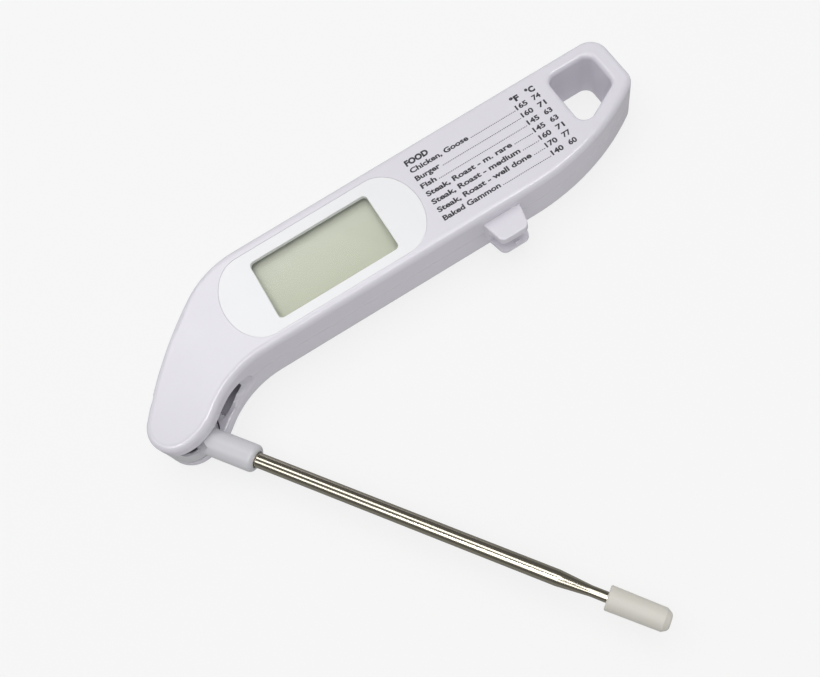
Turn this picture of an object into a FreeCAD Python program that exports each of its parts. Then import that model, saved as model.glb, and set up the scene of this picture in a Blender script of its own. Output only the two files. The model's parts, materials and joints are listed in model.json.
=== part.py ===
"""Folding digital meat thermometer: a handle with a display, and a probe that folds beside it.

Frame: the origin is on the flat back face, on the probe's pivot axis. +X runs along the handle to
its hanging end, +Y runs across it to the long straight edge, and +Z points out of the display.
Millimetres. At rest the probe is part way open, as it is when the thermometer is laid down.
"""
import FreeCAD, Part
import math
import os
import Sketcher
from FreeCAD import Placement, Rotation, Vector

SIZES = [
    # handle, as a whole
    ("body_depth", 17.0),
    ("seam_height", 8.6),
    ("wall", 2.0),
    ("edge_radius", 2.0),
    ("seam_bevel", 0.15),
    # handle outline
    ("head_radius", 7.8),
    ("throat_radius", 29.0),
    ("throat_x", 30.3),
    ("lower_edge_y", 4.2),
    ("upper_edge_y", 36.4),
    ("belly_radius", 72.0),
    ("belly_x", 114.3),
    ("far_end_x", 156.3),
    ("far_upper_corner", 5.5),
    ("far_lower_corner", 5.0),
    ("spine_radius", 116.4),
    ("spine_angle", 145.55),
    ("shoulder_radius", 28.1),
    # hanging hole
    ("hole_left", 136.5),
    ("hole_right", 151.0),
    ("hole_top", 31.7),
    ("hole_right_low", 19.8),
    ("hole_left_low", 11.9),
    ("hole_corner", 2.9),
    ("hole_rim_radius", 1.4),
    ("cavity_end_x", 133.9),
    # pivot and the slot between the two cheeks
    ("slot_half", 4.05),
    ("slot_end_x", 23.1),
    ("slot_end_rounding", 1.5),
    ("cheek_rounding", 1.1),
    ("barrel_pocket_radius", 4.15),
    ("knuckle_pocket_radius", 8.4),
    ("knuckle_pocket_extra", 0.5),
    ("partition", 1.5),
    ("trunnion_radius", 3.5),
    ("bearing_gap", 0.06),
    ("seal_bore_radius", 4.6),
    ("seal_bore_depth", 1.1),
    ("seal_section", 0.52),
    # probe
    ("rest_angle", -52.9),
    ("knuckle_radius", 7.72),
    ("knuckle_low", 4.3),
    ("knuckle_high", 12.5),
    ("drum_wall", 0.85),
    ("bearing_wall", 1.6),
    ("relief_radius", 3.4),
    ("relief_low", 9.0),
    ("barrel_radius", 3.8),
    ("barrel_length", 22.7),
    ("barrel_rounding", 1.3),
    ("tube_radius", 2.05),
    ("tube_wall", 0.3),
    ("tube_start", 11.0),
    ("taper_start", 105.5),
    ("taper_end", 113.5),
    ("tip_radius", 1.35),
    ("tip_end", 131.3),
    ("cap_start", 117.6),
    ("cap_end", 132.6),
    ("cap_mouth_radius", 3.1),
    ("cap_nose_radius", 2.9),
    ("cap_bore_gap", 0.05),
    # display
    ("bezel_left", 25.3),
    ("bezel_right", 87.3),
    ("bezel_low", 6.7),
    ("bezel_high", 33.2),
    ("bezel_end", 10.0),
    ("bezel_thickness", 1.2),
    ("bezel_gap", 0.04),
    ("bezel_rounding", 0.15),
    ("window_x", 56.6),
    ("window_y", 19.62),
    ("window_length", 37.5),
    ("window_height", 19.85),
    ("pane_length", 42.0),
    ("pane_height", 24.4),
    ("pane_thickness", 1.0),
    ("glass_thickness", 0.9),
    ("film_thickness", 0.12),
    ("glass_ledge", 2.6),
    ("holder_wall", 1.0),
    ("board_low", 8.8),
    ("board_thickness", 1.2),
    # battery bay and its door
    ("bay_x", 112.0),
    ("bay_y", 20.3),
    ("bay_radius", 14.2),
    ("cell_radius", 10.0),
    ("cell_height", 3.2),
    ("cell_low", 4.4),
    ("door_radius", 12.1),
    ("door_gap", 0.15),
    ("door_plate", 1.8),
    ("ledge_radius", 10.9),
    ("ledge_top", 3.0),
    ("lug_low", 3.1),
    ("lug_high", 4.2),
    # unit button
    ("button_x", 84.0),
    ("button_y", 13.5),
    ("button_radius", 2.4),
    ("button_recess", 0.3),
    ("button_gap", 0.08),
    # fasteners
    ("post_radius", 3.2),
    ("screw_bore", 2.15),
    ("screw_seat", 4.6),
    ("screw_radius", 0.98),
    ("screw_head_radius", 1.95),
    ("screw_head_height", 1.3),
    ("pilot_radius", 1.05),
    ("board_post_radius", 2.2),
    # clip for the folded probe
    ("clip_left", 97.7),
    ("clip_right", 110.3),
    ("clip_draft", 2.0),
    ("clip_tip_y", -3.1),
    ("clip_web_y", 2.3),
    ("clip_low", 4.9),
    ("clip_high", 13.2),
    ("clip_gap_low", 6.2),
    ("clip_gap_high", 10.9),
    ("clip_corner", 2.1),
    ("clip_rounding", 0.4),
    ("snap_length", 1.6),
    ("snap_x", 104.6),
]

CASE_SCREWS = [(5.0, 12.0), (91.0, 31.6), (91.0, 9.0), (131.0, 31.6), (131.0, 11.0)]
BOARD_SCREWS = [(29.5, 19.6), (84.0, 27.5)]
BOARD_SCREW_RADIUS = 0.75
BOARD_OUTLINE = [
    (12.6, 8.6), (24.0, 6.9), (117.0, 6.9), (126.5, 7.9), (126.5, 33.0), (30.5, 33.0), (12.6, 20.5),
]
BOARD_PARTS = [
    # x, y, length, width, height
    (42.0, 12.0, 2.0, 1.2, 0.6),
    (46.0, 12.0, 2.0, 1.2, 0.6),
    (50.0, 12.0, 1.6, 0.8, 0.5),
    (42.0, 27.0, 3.2, 1.6, 0.9),
    (48.0, 27.5, 2.0, 1.2, 0.6),
    (66.0, 12.5, 3.2, 1.6, 1.0),
    (71.0, 12.5, 2.0, 1.2, 0.6),
    (70.0, 26.5, 7.0, 2.4, 2.2),
    (24.0, 14.0, 2.0, 1.2, 0.6),
]
BLOB_BALL = 14.0
BLOB_HEIGHT = 1.5
REED_X = 17.6
REED_Y = 15.6
REED_LENGTH = 8.4
REED_RADIUS = 1.1
SWITCH_HEIGHT = 3.6
STEM_RADIUS = 1.7
DOOR_TURN = 45.0
LUG_SPAN = 26.0
NOTCH_SPAN = 32.0
LEAD_RADIUS = 0.28
LEAD_OFFSET = 0.38
LEAD_BORE = 0.95
LEAD_ANGLE = 35.0
LEAD_REACH = 17.0
LEAD_DROP = 0.5
HANDLE_LEAD_BEND = 0.45
SNAP_RADIUS = 0.7
GROOVE_START = -25.0
GROOVE_SPAN = 105.0
CORE_START = -150.0
CORE_SPAN = 122.0
RELIEF_ANGLE = -33.0
CHANNEL_WIDTH = 2.4
CHANNEL_LENGTH = 12.5
CHANNEL_DEPTH = 1.6
LEAD_WINDOW = [
    (9.95, 1.0), (10.5, -0.4), (11.1, -0.5), (16.3, 2.8), (18.9, 3.8), (18.4, 7.5), (9.9, 7.5),
]
SHAFT_BORE = 1.3
BEARING_FLOOR = 1.6
CORE_FLOOR = 1.5
TRUNNION_FOOT = 1.75
TRUNNION_TOP_GAP = 1.1
BARREL_LIP = 0.5
BARREL_LIP_WIDTH = 0.35
KNUCKLE_ROUNDING = 0.35
RELIEF_SINK = 0.5
GROOVE_PLAY = 0.1
GROOVE_FLOOR = 0.3
SNAP_INSET = 0.9
SNAP_RISE = 0.3
SCREW_LENGTH = 8.6
BOARD_SCREW_LENGTH = 4.6
BOARD_SCREW_HEAD = 1.6
BOARD_SCREW_HEAD_HEIGHT = 0.95
REED_LIFT = 1.4
REED_WIRE_RADIUS = 0.22
REED_WIRE_BEND = 0.5
MAGNET_RADIUS = 1.5
MAGNET_DEPTH = 2.2
MAGNET_REACH = 5.2
MAGNET_ANGLE = 60.0
BEAD_RADIUS = 0.75
UP = Vector(0, 0, 1)

doc = FreeCAD.newDocument("FoldingThermometer")
sheet = doc.addObject("Spreadsheet::Sheet", "sizes")
for row, (alias, number) in enumerate(SIZES, start=1):
    sheet.set(f"A{row}", alias)
    sheet.set(f"B{row}", str(number))
    sheet.setAlias(f"B{row}", alias)
doc.recompute()

nodes = {}


# ---------------------------------------------------------------- small helpers

def named(formula):
    """Turn a formula on the sheet's aliases into an expression on the sheet."""
    words = sorted((alias for alias, _ in SIZES), key=len, reverse=True)
    text = ""
    at = 0
    formula = str(formula)
    while at < len(formula):
        inside_word = at > 0 and (formula[at - 1].isalnum() or formula[at - 1] in "_.")
        match = None
        if not inside_word:
            match = next((word for word in words if formula.startswith(word, at)), None)
        if match:
            text += "sizes." + match
            at += len(match)
        else:
            text += formula[at]
            at += 1
    return text


def value(formula):
    """The number that a formula on the sheet's aliases gives."""
    result = sheet.evalExpression(named(formula))
    return float(getattr(result, "Value", result))


def bind(thing, **formulas):
    """Set and bind properties; x, y and z stand for the placement's base."""
    for name, formula in formulas.items():
        path = {"x": "Placement.Base.x", "y": "Placement.Base.y", "z": "Placement.Base.z"}.get(name, name)
        thing.setExpression(path, named(formula))
    return thing


def box(name, low, high):
    """A box between two corners, each given as three formulas."""
    thing = doc.addObject("Part::Box", name)
    sides = [f"({top}) - ({bottom})" for bottom, top in zip(low, high)]
    return bind(thing, Length=sides[0], Width=sides[1], Height=sides[2], x=low[0], y=low[1], z=low[2])


def cylinder(name, radius, low, high, x=0, y=0):
    """An upright cylinder between two heights."""
    thing = doc.addObject("Part::Cylinder", name)
    return bind(thing, Radius=radius, Height=f"({high}) - ({low})", x=x, y=y, z=low)


def extruded(name, outline, low, high):
    """An outline in the XY plane made solid between two heights."""
    thing = doc.addObject("Part::Extrusion", name)
    thing.Base = outline
    thing.DirMode = "Custom"
    thing.Dir = UP
    thing.Solid = True
    return bind(thing, LengthFwd=f"({high}) - ({low})", z=low)


def outline_face(name, wire):
    """A flat outline that an extrusion or an offset reads."""
    thing = doc.addObject("Part::Feature", name)
    thing.Shape = Part.Face(wire)
    return thing


def fused(name, shapes):
    thing = doc.addObject("Part::MultiFuse", name)
    thing.Shapes = shapes
    return thing


def shared(name, parts):
    """The volume that all the parts have in common."""
    thing = doc.addObject("Part::MultiCommon", name)
    thing.Shapes = parts
    return thing


def sector(name, start, span):
    """A wedge about the pivot axis, from one angle through a span."""
    wedge = doc.addObject("Part::Cylinder", name)
    wedge.Placement = Placement(Vector(0, 0, 0), Rotation(UP, start))
    bind(wedge, Radius=20, Height="body_depth", Angle=span)
    return wedge


def less(name, base, tools):
    """The base with every tool cut away."""
    thing = doc.addObject("Part::Cut", name)
    thing.Base = base
    thing.Tool = tools[0] if len(tools) == 1 else fused(name + "_cutters", tools)
    return thing


def rounded(name, base, radius, picks, kind="Part::Fillet"):
    """Fillet or chamfer the edges that picks() accepts."""
    doc.recompute()
    size = value(radius)
    edges = [n for n, edge in enumerate(base.Shape.Edges, start=1) if picks(edge)]
    thing = doc.addObject(kind, name)
    thing.Base = base
    thing.Edges = [(number, size, size) for number in edges]
    return thing


def at_height(height):
    """Accept edges that lie flat at one height."""
    level = value(height)
    return lambda edge: all(abs(vertex.Z - level) < 1e-4 for vertex in edge.Vertexes)


def node(label, thing):
    """Register a finished piece under the name of its node."""
    thing.Label = label
    nodes[label] = thing
    return thing


def group(label, things):
    """Separate solids that share one node."""
    thing = doc.addObject("Part::Compound", label + "_group")
    thing.Links = things
    return node(label, thing)


def arc(centre, radius, start, end):
    """An arc about a centre, from one angle to another, in degrees."""
    def point(angle):
        turn = math.radians(angle)
        return Vector(centre[0] + radius * math.cos(turn), centre[1] + radius * math.sin(turn), 0)
    return Part.Arc(point(start), point((start + end) / 2), point(end)).toShape()


def line(start, end):
    return Part.LineSegment(Vector(start[0], start[1], 0), Vector(end[0], end[1], 0)).toShape()


def angle_of(centre, point):
    return math.degrees(math.atan2(point[1] - centre[1], point[0] - centre[0]))


def joined(edges):
    return Part.Wire(Part.__sortEdges__(edges))


def soft_polygon(corners, radius):
    """A closed polygon whose corners are rounded by arcs of one radius."""
    edges = []
    cuts = []
    count = len(corners)
    for n in range(count):
        before = Vector(*corners[n - 1], 0)
        corner = Vector(*corners[n], 0)
        after = Vector(*corners[(n + 1) % count], 0)
        back = (before - corner).normalize()
        ahead = (after - corner).normalize()
        half = back.getAngle(ahead) / 2
        reach = radius / math.tan(half)
        middle = (back + ahead).normalize() * (radius / math.sin(half) - radius)
        cuts.append((corner + back * reach, corner + middle, corner + ahead * reach))
    for n, (enter, middle, leave) in enumerate(cuts):
        edges.append(Part.Arc(enter, middle, leave).toShape())
        edges.append(Part.LineSegment(leave, cuts[(n + 1) % count][0]).toShape())
    return Part.Wire(edges)


def turned(label, profile, about="X"):
    """A body turned about X or Z; the profile holds (along the axis, radius) as formulas."""
    body = doc.addObject("PartDesign::Body", label + "_body")
    plane = next(f for f in body.Origin.OriginFeatures if f.Role == "XZ_Plane")
    sketch = body.newObject("Sketcher::SketchObject", label + "_profile")
    sketch.AttachmentSupport = [(plane, "")]
    sketch.MapMode = "FlatFace"
    pairs = [(a, r) if about == "X" else (r, a) for a, r in profile]
    spots = [Vector(value(across), value(up), 0) for across, up in pairs]
    count = len(spots)
    for n in range(count):
        sketch.addGeometry(Part.LineSegment(spots[n], spots[(n + 1) % count]))
    for n in range(count):
        sketch.addConstraint(Sketcher.Constraint("Coincident", n, 2, (n + 1) % count, 1))
    for n, (across, up) in enumerate(pairs):
        for kind, formula, number in (("DistanceX", across, spots[n].x), ("DistanceY", up, spots[n].y)):
            made = sketch.addConstraint(Sketcher.Constraint(kind, -1, 1, n, 1, number))
            sketch.setExpression(f"Constraints[{made}]", named(formula))
    spin = body.newObject("PartDesign::Revolution", label + "_turning")
    spin.Profile = sketch
    spin.ReferenceAxis = (sketch, ["H_Axis" if about == "X" else "V_Axis"])
    spin.Angle = 360
    body.Tip = spin
    return body


def lead(name, route, radius, bend):
    """A round wire along straight runs joined by arcs of one radius."""
    points = [Vector(*spot) for spot in route]
    edges = []
    start = points[0]
    for before, corner, after in zip(points, points[1:], points[2:]):
        back = (before - corner).normalize()
        ahead = (after - corner).normalize()
        half = back.getAngle(ahead) / 2
        reach = bend / math.tan(half)
        middle = (back + ahead).normalize() * (bend / math.sin(half) - bend)
        edges.append(Part.LineSegment(start, corner + back * reach).toShape())
        edges.append(Part.Arc(corner + back * reach, corner + middle, corner + ahead * reach).toShape())
        start = corner + ahead * reach
    edges.append(Part.LineSegment(start, points[-1]).toShape())
    path = Part.Wire(edges)
    section = Part.Wire(Part.makeCircle(radius, points[0], points[1] - points[0]))
    thing = doc.addObject("Part::Feature", name)
    thing.Shape = path.makePipeShell([section], True, True)
    return thing


# ---------------------------------------------------------------- outlines

def handle_wire():
    """The handle seen from the front: rounded head, throat, straight grip and blunt far end."""
    head = value("head_radius")
    throat = value("throat_radius")
    low = value("lower_edge_y")
    high = value("upper_edge_y")
    step = throat - head - low
    throat_centre = (value("throat_x"), low - throat)
    chin = (throat_centre[0] ** 2 + step ** 2 - throat ** 2) / (2 * (throat - step))
    chin_centre = (0.0, chin - head)
    chin_angle = angle_of(chin_centre, throat_centre)

    belly = value("belly_radius")
    belly_centre = (value("belly_x"), low + belly)
    low_corner = value("far_lower_corner")
    far = value("far_end_x")
    drop = math.sqrt((belly - low_corner) ** 2 - (far - low_corner - belly_centre[0]) ** 2)
    low_centre = (far - low_corner, belly_centre[1] - drop)
    belly_angle = angle_of(belly_centre, low_centre)
    top_corner = value("far_upper_corner")
    top_centre = (far - top_corner, high - top_corner)

    spine = value("spine_radius")
    spine_angle = value("spine_angle")
    turn = math.radians(spine_angle)
    spine_centre = (-(spine - head) * math.cos(turn), -(spine - head) * math.sin(turn))
    shoulder = value("shoulder_radius")
    rise = high - shoulder - spine_centre[1]
    run = math.sqrt((spine - shoulder) ** 2 - rise ** 2)
    shoulder_centre = (spine_centre[0] - run, high - shoulder)
    shoulder_angle = angle_of(spine_centre, shoulder_centre)

    edges = [
        arc(chin_centre, chin, -90, chin_angle),
        arc(throat_centre, throat, chin_angle + 180, 90),
        line((throat_centre[0], low), (belly_centre[0], low)),
        arc(belly_centre, belly, -90, belly_angle),
        arc(low_centre, low_corner, belly_angle, 0),
        line((far, low_centre[1]), (far, top_centre[1])),
        arc(top_centre, top_corner, 0, 90),
        line((top_centre[0], high), (shoulder_centre[0], high)),
        arc(shoulder_centre, shoulder, 90, shoulder_angle),
        arc(spine_centre, spine, shoulder_angle, spine_angle),
        arc((0.0, 0.0), head, spine_angle, 270),
    ]
    return joined(edges)


def hanging_hole_wire():
    corners = [
        (value("hole_left"), value("hole_left_low")),
        (value("hole_right"), value("hole_right_low")),
        (value("hole_right"), value("hole_top")),
        (value("hole_left"), value("hole_top")),
    ]
    return soft_polygon(corners, value("hole_corner"))


def bezel_wire(grow):
    """A straight-sided plate with half-elliptical ends."""
    left = value("bezel_left + bezel_end")
    right = value("bezel_right - bezel_end")
    low = value("bezel_low")
    high = value("bezel_high")
    middle = (low + high) / 2
    tall = (high - low) / 2 + grow
    wide = value("bezel_end") + grow
    edges = []
    for x, side in ((right, 1), (left, -1)):
        top = Vector(x, middle + tall, 0)
        ellipse = Part.Ellipse(top, Vector(x + side * wide, middle, 0), Vector(x, middle, 0))
        edges.append(Part.ArcOfEllipse(ellipse, 0, math.pi).toShape())
    edges.append(line((left, middle + tall), (right, middle + tall)))
    edges.append(line((left, middle - tall), (right, middle - tall)))
    return joined(edges)


def soft_rectangle(x, y, length, height, radius):
    corners = [
        (x - length / 2, y - height / 2),
        (x + length / 2, y - height / 2),
        (x + length / 2, y + height / 2),
        (x - length / 2, y + height / 2),
    ]
    return soft_polygon(corners, radius)


def clip_wire():
    """The clip seen from the front: a tab that narrows towards rounded tip corners."""
    inside = value("lower_edge_y + wall")
    left = value("clip_left")
    right = value("clip_right")
    draft = value("clip_draft")
    tip = value("clip_tip_y")
    return soft_polygon([(left + draft, tip), (right - draft, tip), (right, inside), (left, inside)],
                        value("clip_corner"))


outer_face = outline_face("handle_outline", handle_wire())
hole_face = outline_face("hanging_hole_outline", hanging_hole_wire())
clip_face = outline_face("clip_outline", clip_wire())
inner_face = doc.addObject("Part::Offset2D", "cavity_outline")
inner_face.Source = outer_face
bind(inner_face, Value="0 - wall")
doc.recompute()


# ---------------------------------------------------------------- what both covers share

def head_block():
    """The solid cheeks and partition that surround the slot and keep the cavity off it."""
    ring = cylinder("head_ring", "knuckle_pocket_radius + partition", -1, "body_depth + 1")
    strip = box("head_strip", (-20, -20, -1),
                ("slot_end_x + partition", "barrel_pocket_radius + partition", "body_depth + 1"))
    far = box("hole_surround", ("cavity_end_x", -20, -1), ("far_end_x + 5", 60, "body_depth + 1"))
    return [ring, strip, far]


def probe_slot():
    """Where the knuckle turns, where the barrel sweeps and where it lies when folded."""
    low = "seam_height - slot_half"
    high = "seam_height + slot_half"
    sweep = box("slot_sweep", (-20, -20, low), ("slot_end_x", 0, high))
    knuckle = cylinder("slot_knuckle", "knuckle_pocket_radius", f"{low} - knuckle_pocket_extra", high)
    barrel = doc.addObject("Part::Cylinder", "slot_barrel")
    barrel.Placement = Placement(Vector(-20, 0, 0), Rotation(Vector(0, 1, 0), 90))
    bind(barrel, Radius="barrel_pocket_radius", Height="slot_end_x + 20", z="seam_height")
    soft_barrel = rounded("slot_barrel_soft", barrel, "slot_end_rounding",
                          lambda edge: abs(edge.CenterOfMass.x - value("slot_end_x")) < 0.01)
    return fused("probe_slot", [sweep, knuckle, soft_barrel]), soft_barrel


def post(name, spot, radius, low, high):
    return cylinder(name, radius, low, high, *spot)


def jaw(side, low, high, gap_low, gap_high):
    """One cover's half of the clip: a rounded tab with its part of the slot cut out."""
    tab = extruded(f"{side}_tab", clip_face, low, high)
    face_level = high if side == "front" else low
    soft = rounded(f"{side}_soft_tab", tab, "clip_rounding", at_height(face_level))
    gap = box(f"{side}_clip_gap", ("clip_left - 1", "clip_tip_y - 1", gap_low),
              ("clip_right + 1", "clip_web_y", gap_high))
    return less(f"{side}_jaw", soft, [gap])


cavity_limits = head_block()
slot, slot_barrel_soft = probe_slot()
hole_cutter = extruded("hanging_hole_cutter", hole_face, -1, "body_depth + 1")
doc.recompute()


def half_shell(side, low, high, face_level, cavity_low, cavity_high):
    """One half of the handle's block, edges rounded, hollowed to its wall."""
    block = extruded(f"{side}_block", outer_face, low, high)
    soft = rounded(f"{side}_soft_block", block, "edge_radius", at_height(face_level))
    bevelled = rounded(f"{side}_seam_bevel", soft, "seam_bevel", at_height("seam_height"), "Part::Chamfer")
    holed = less(f"{side}_holed", bevelled, [hole_cutter])
    left = value("hole_left - 0.2")
    right = value("hole_right + 0.2")
    top = value("hole_top + 0.2")
    level = value(face_level)

    def on_rim(edge):
        middle = edge.CenterOfMass
        inside = left < middle.x < right and middle.y < top and abs(middle.z - level) < 1e-4
        return inside and all(left < v.X < right and v.Y < top for v in edge.Vertexes)

    rimmed = rounded(f"{side}_hole_rim", holed, "hole_rim_radius", on_rim)
    hollow = extruded(f"{side}_hollow", inner_face, cavity_low, cavity_high)
    room = less(f"{side}_room", hollow, cavity_limits)
    return less(f"{side}_shell", rimmed, [room])


# ---------------------------------------------------------------- covers

def front_cover():
    """The display side: window, bezel seat, screw posts, front cheek and upper clip jaw."""
    roof = "body_depth - wall"
    shell = half_shell("front", "seam_height", "body_depth", "body_depth", "seam_height - 1", roof)
    posts = [post(f"front_post_{n}", spot, "post_radius", "seam_height", roof + " + 0.5")
             for n, spot in enumerate(CASE_SCREWS)]
    stands = [post(f"board_stand_{n}", spot, "board_post_radius", "board_low + board_thickness", roof)
              for n, spot in enumerate(BOARD_SCREWS)]
    upper = jaw("front", "seam_height", "clip_high", "seam_height - 1", "clip_gap_high")
    whole = fused("front_whole", [shell, upper] + posts + stands)
    channel_turn = math.radians(LEAD_ANGLE)
    channel = doc.addObject("Part::Box", "lead_channel")
    channel.Placement = Placement(
        Vector(CHANNEL_WIDTH / 2 * math.sin(channel_turn), -CHANNEL_WIDTH / 2 * math.cos(channel_turn), 0),
        Rotation(UP, LEAD_ANGLE))
    bind(channel, Length=CHANNEL_LENGTH, Width=CHANNEL_WIDTH, Height=CHANNEL_DEPTH,
         z=f"{roof} - {CHANNEL_DEPTH}")
    bezel_seat = outline_face("bezel_seat_outline", bezel_wire(value("bezel_gap")))
    ledge_hole = outline_face("ledge_hole_outline", soft_rectangle(
        value("window_x"), value("window_y"), value("window_length + 2"), value("window_height + 2"), 2.0))
    cutters = [
        slot,
        channel,
        cylinder("front_bearing", "trunnion_radius + bearing_gap", "seam_height", roof),
        cylinder("front_seal_bore", "seal_bore_radius", "seam_height",
                 "seam_height + slot_half + seal_bore_depth"),
        extruded("bezel_seat", bezel_seat, "body_depth - bezel_thickness", "body_depth + 1"),
        extruded("ledge_hole", ledge_hole, roof + " - 1", "body_depth"),
    ]
    cutters += [cylinder(f"front_pilot_{n}", "pilot_radius", "seam_height - 1", "body_depth - 3.1", *spot)
                for n, spot in enumerate(CASE_SCREWS)]
    cutters += [cylinder(f"stand_pilot_{n}", BOARD_SCREW_RADIUS + 0.05, "board_low", roof + " - 0.4", *spot)
                for n, spot in enumerate(BOARD_SCREWS)]
    node("front_cover", less("front_cover_cut", whole, cutters))


def worn_off(name, block, picks, low, high):
    """What rounding a block's edges takes off it, within a box."""
    soft = rounded(f"{name}_soft", block, "cheek_rounding", picks)
    return shared(name, [less(f"{name}_waste", block, [soft]), box(f"{name}_reach", low, high)])


def cheek_rim():
    """The rounded rim of the back cheek, along the flat of the slot and along the barrel's pocket."""
    floor_level = "seam_height - slot_half"
    flat = extruded("cheek_block", outer_face, floor_level + " - 3", floor_level)
    flat_rim = worn_off("cheek_flat_rim", flat, at_height(floor_level), (6.5, -9, 0), (14.4, 0, "seam_height"))
    bored = less("cheek_bored_block", extruded("cheek_full_block", outer_face, 0, "seam_height"),
                 [slot_barrel_soft])

    def on_bore(edge):
        spot = edge.CenterOfMass
        straight = edge.Curve.TypeId in ("Part::GeomLine", "Part::GeomCircle")
        return not straight and 8 < spot.x < 24 and spot.z < value("seam_height") - 0.1

    bore_rim = worn_off("cheek_bore_rim", bored, on_bore, (14.4, -5, 0), ("slot_end_x + 2", 8, "seam_height"))
    return [flat_rim, bore_rim]


def back_cover():
    """The plain side: battery bay, screw bores, button hole, back cheek and lower clip jaw."""
    shell = half_shell("back", 0, "seam_height", 0, "wall", "seam_height + 1")
    posts = [post(f"back_post_{n}", spot, "post_radius", "wall - 0.5", "seam_height")
             for n, spot in enumerate(CASE_SCREWS)]
    bay = cylinder("bay_wall", "bay_radius", "wall - 0.5", "cell_low + cell_height", "bay_x", "bay_y")
    lower = jaw("back", "clip_low", "seam_height", "clip_gap_low", "seam_height + 1")
    bump = doc.addObject("Part::Cylinder", "clip_bump")
    bump.Placement = Placement(Vector(0, 0, 0), Rotation(Vector(0, 1, 0), 90))
    bind(bump, Radius=SNAP_RADIUS, Height="snap_length", x="snap_x - snap_length / 2",
         y=f"clip_tip_y + {SNAP_INSET}", z=f"clip_gap_low + {SNAP_RISE} - {SNAP_RADIUS}")
    whole = fused("back_whole", [shell, lower, bump, bay] + posts)
    lead_window = outline_face("lead_window_outline", Part.makePolygon(
        [Vector(*corner, 0) for corner in LEAD_WINDOW + LEAD_WINDOW[:1]]))
    bay_spot = ("bay_x", "bay_y")
    slotted = less("back_slotted", whole, [slot])
    groove_outer = cylinder("groove_outer", f"knuckle_pocket_radius + {GROOVE_PLAY}", f"wall + {GROOVE_FLOOR}",
                            "seam_height")
    groove_inner = cylinder("groove_inner", f"knuckle_radius + {GROOVE_PLAY}", "wall", "seam_height + 1")
    groove = less("drum_groove", groove_outer, [groove_inner])
    groove_arc = shared("drum_groove_arc", [groove, sector("groove_sector", GROOVE_START, GROOVE_SPAN)])
    slotted = less("back_grooved", slotted, [groove_arc])
    for rim in cheek_rim():
        slotted = less(rim.Name + "_cut", slotted, [rim])
    cutters = [
        extruded("lead_window", lead_window, "wall", "seam_height + 1"),
        cylinder("back_bearing", "trunnion_radius + bearing_gap", BEARING_FLOOR, "seam_height"),
        cylinder("back_seal_bore", "seal_bore_radius",
                 "seam_height - slot_half - knuckle_pocket_extra - seal_bore_depth", "seam_height"),
        cylinder("door_seat", "door_radius + door_gap", -1, "door_plate", *bay_spot),
        cylinder("ledge_bore", "ledge_radius", 0, "ledge_top + 1", *bay_spot),
        cylinder("lug_groove", "door_radius", "ledge_top", "lug_high + 0.1", *bay_spot),
        cylinder("cell_well", "cell_radius + 0.3", "ledge_top", "seam_height", *bay_spot),
        cylinder("button_hole", "button_radius + button_gap", -1, "wall + 1", "button_x", "button_y"),
        box("contact_notch", ("bay_x - cell_radius - 3.5", "bay_y - 2.4", "lug_high + 0.3"),
            ("bay_x - cell_radius + 1", "bay_y + 2.4", "seam_height + 1")),
    ]
    for n in range(2):
        notch = cylinder(f"lug_notch_{n}", "door_radius", "door_plate - 0.1", "ledge_top + 0.1", *bay_spot)
        notch.Placement.Rotation = Rotation(UP, 180 * n + 90 - DOOR_TURN - NOTCH_SPAN / 2)
        notch.Angle = NOTCH_SPAN
        cutters.append(notch)
    for n, spot in enumerate(CASE_SCREWS):
        cutters.append(cylinder(f"head_bore_{n}", "screw_bore", -1, "screw_seat", *spot))
        cutters.append(cylinder(f"shank_bore_{n}", "screw_radius + 0.2", 0, "seam_height + 1", *spot))
    node("back_cover", less("back_cover_cut", slotted, cutters))


# ---------------------------------------------------------------- display

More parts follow.
